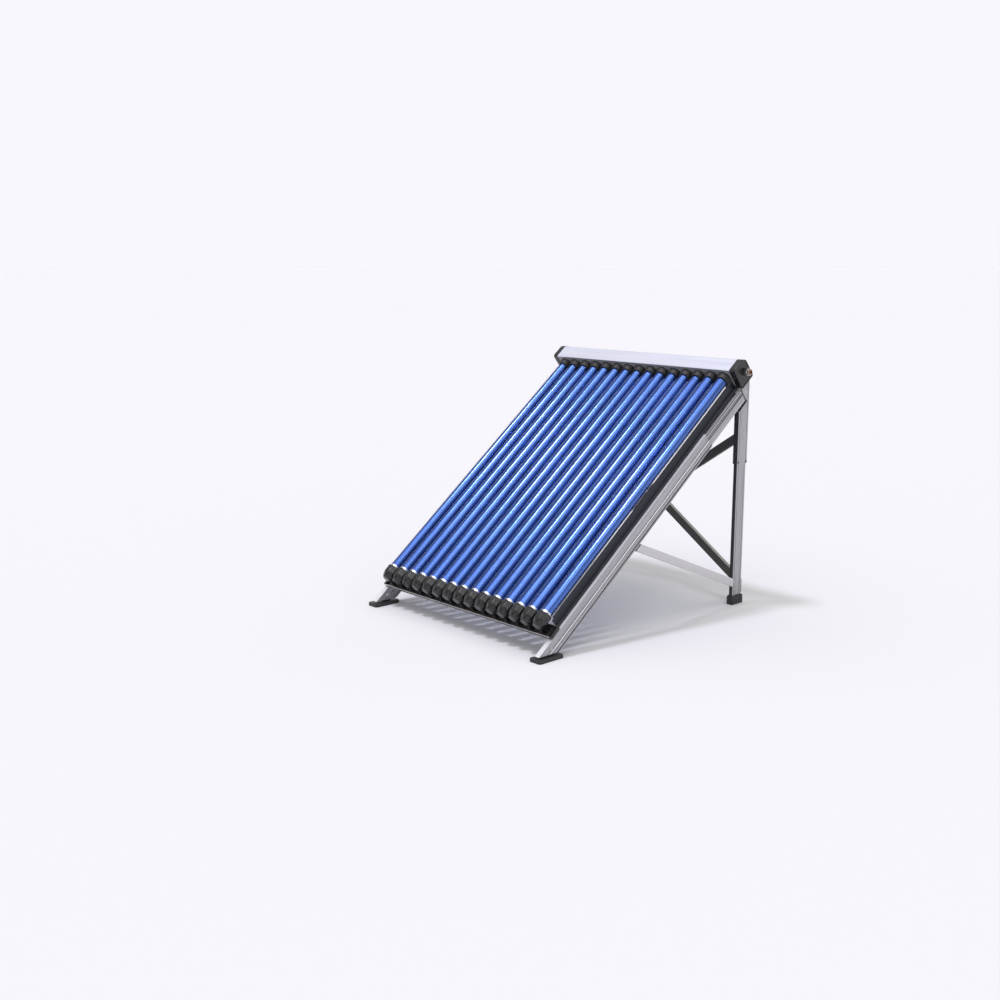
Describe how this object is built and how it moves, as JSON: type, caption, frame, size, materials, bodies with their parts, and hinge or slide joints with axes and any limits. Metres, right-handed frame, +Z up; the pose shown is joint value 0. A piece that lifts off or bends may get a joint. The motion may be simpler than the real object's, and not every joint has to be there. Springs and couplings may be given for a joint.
{
  "type": "solar water heater",
  "caption": "Evacuated-tube solar water heater: a row of blue glass tubes plugged into a silver manifold header, carried on a folding aluminium ground stand.",
  "frame": {"origin": "ground level, under the middle of the footprint", "axes": "+Z up, +X to the right as seen from the low end of the tubes, +Y towards the header, up the slope"},
  "size_m": [1.264, 1.3986, 1.1954],
  "materials": {
    "tube_glass": "clear borosilicate glass over a dark blue absorber coating",
    "black_moulding": "fine-grained black moulding",
    "silver_casing": "pale silver anodised sheet, faint lengthwise brushing",
    "grey_plate": "mid-grey satin paint",
    "collar_rubber": "matt black rubber",
    "mineral_wool": "pressed mineral wool",
    "copper": "bare copper pipe, brazed joints",
    "dark_track": "charcoal powder coat",
    "dark_brace": "charcoal powder coat",
    "nickel_fitting": "turned and plated metal",
    "charcoal_trim": "dark slate anodised strip",
    "anodised_aluminium": "satin silver anodised extrusion with lengthwise ribs",
    "black_steel": "black powder coat",
    "foot_rubber": "black moulded rubber"
  },
  "bodies": {
    "front_feet": {"front_foot_left": "black_steel", "front_foot_right": "black_steel", "front_hinge_pin_left": "nickel_fitting", "front_hinge_pin_right": "nickel_fitting"},
    "collector": {"evacuated_tube_01": "tube_glass", "evacuated_tube_02": "tube_glass", "evacuated_tube_03": "tube_glass", "evacuated_tube_04": "tube_glass", "evacuated_tube_05": "tube_glass", "evacuated_tube_06": "tube_glass", "evacuated_tube_07": "tube_glass", "evacuated_tube_08": "tube_glass", "evacuated_tube_09": "tube_glass", "evacuated_tube_10": "tube_glass", "evacuated_tube_11": "tube_glass", "evacuated_tube_12": "tube_glass", "evacuated_tube_13": "tube_glass", "evacuated_tube_14": "tube_glass", "evacuated_tube_15": "tube_glass", "tube_cup_01": "black_moulding", "tube_cup_02": "black_moulding", "tube_cup_03": "black_moulding", "tube_cup_04": "black_moulding", "tube_cup_05": "black_moulding", "tube_cup_06": "black_moulding", "tube_cup_07": "black_moulding", "tube_cup_08": "black_moulding", "tube_cup_09": "black_moulding", "tube_cup_10": "black_moulding", "tube_cup_11": "black_moulding", "tube_cup_12": "black_moulding", "tube_cup_13": "black_moulding", "tube_cup_14": "black_moulding", "tube_cup_15": "black_moulding", "manifold_cover": "silver_casing", "manifold_front_plate": "grey_plate", "tube_collar_strip": "collar_rubber", "manifold_insulation": "mineral_wool", "copper_manifold": "copper", "tube_track": "dark_track", "end_cap_left": "black_moulding", "side_trim_left": "charcoal_trim", "lower_rail_left": "anodised_aluminium", "upper_rail_left": "anodised_aluminium", "end_cap_right": "black_moulding", "side_trim_right": "charcoal_trim", "lower_rail_right": "anodised_aluminium", "upper_rail_right": "anodised_aluminium"},
    "upper_legs": {"upper_leg_left": "anodised_aluminium", "upper_leg_right": "anodised_aluminium"},
    "rear_base": {"lower_leg_left": "anodised_aluminium", "lower_leg_right": "anodised_aluminium", "rear_foot_left": "foot_rubber", "rear_foot_right": "foot_rubber", "side_strut_left": "anodised_aluminium", "side_strut_right": "anodised_aluminium", "cross_brace_front": "dark_brace", "cross_brace_rear": "dark_brace"},
    "union_nut_left": {"union_nut_left": "nickel_fitting"},
    "union_nut_right": {"union_nut_right": "nickel_fitting"}
  },
  "joints": [
    {"name": "frame_tilt", "type": "hinge", "parent": "front_feet", "child": "collector", "pos_m": [0, -0.6153, 0.04645], "axis": [1, 0, 0], "range_deg": [-4.3, 5.6]},
    {"name": "leg_hinge", "type": "hinge", "parent": "collector", "child": "upper_legs", "pos_m": [0, 0.66763, 1.03906], "axis": [1, 0, 0], "range_deg": [-5.7, 4.4]},
    {"name": "leg_telescope", "type": "slide", "parent": "upper_legs", "child": "rear_base", "axis": [0, 0, -1], "range_m": [-0.096, 0.125]},
    {"name": "union_nut_left_spin", "type": "hinge", "parent": "collector", "child": "union_nut_left", "pos_m": [-0.615, 0.63633, 1.1367], "axis": [1, 0, 0], "continuous": true},
    {"name": "union_nut_right_spin", "type": "hinge", "parent": "collector", "child": "union_nut_right", "pos_m": [0.615, 0.63633, 1.1367], "axis": [1, 0, 0], "continuous": true}
  ],
  "couplings": [
    {"joint": "leg_hinge", "follows": "frame_tilt", "ratio": -1},
    {"joint": "leg_telescope", "follows": "frame_tilt", "m_per_rad": 1.27}
  ]
}
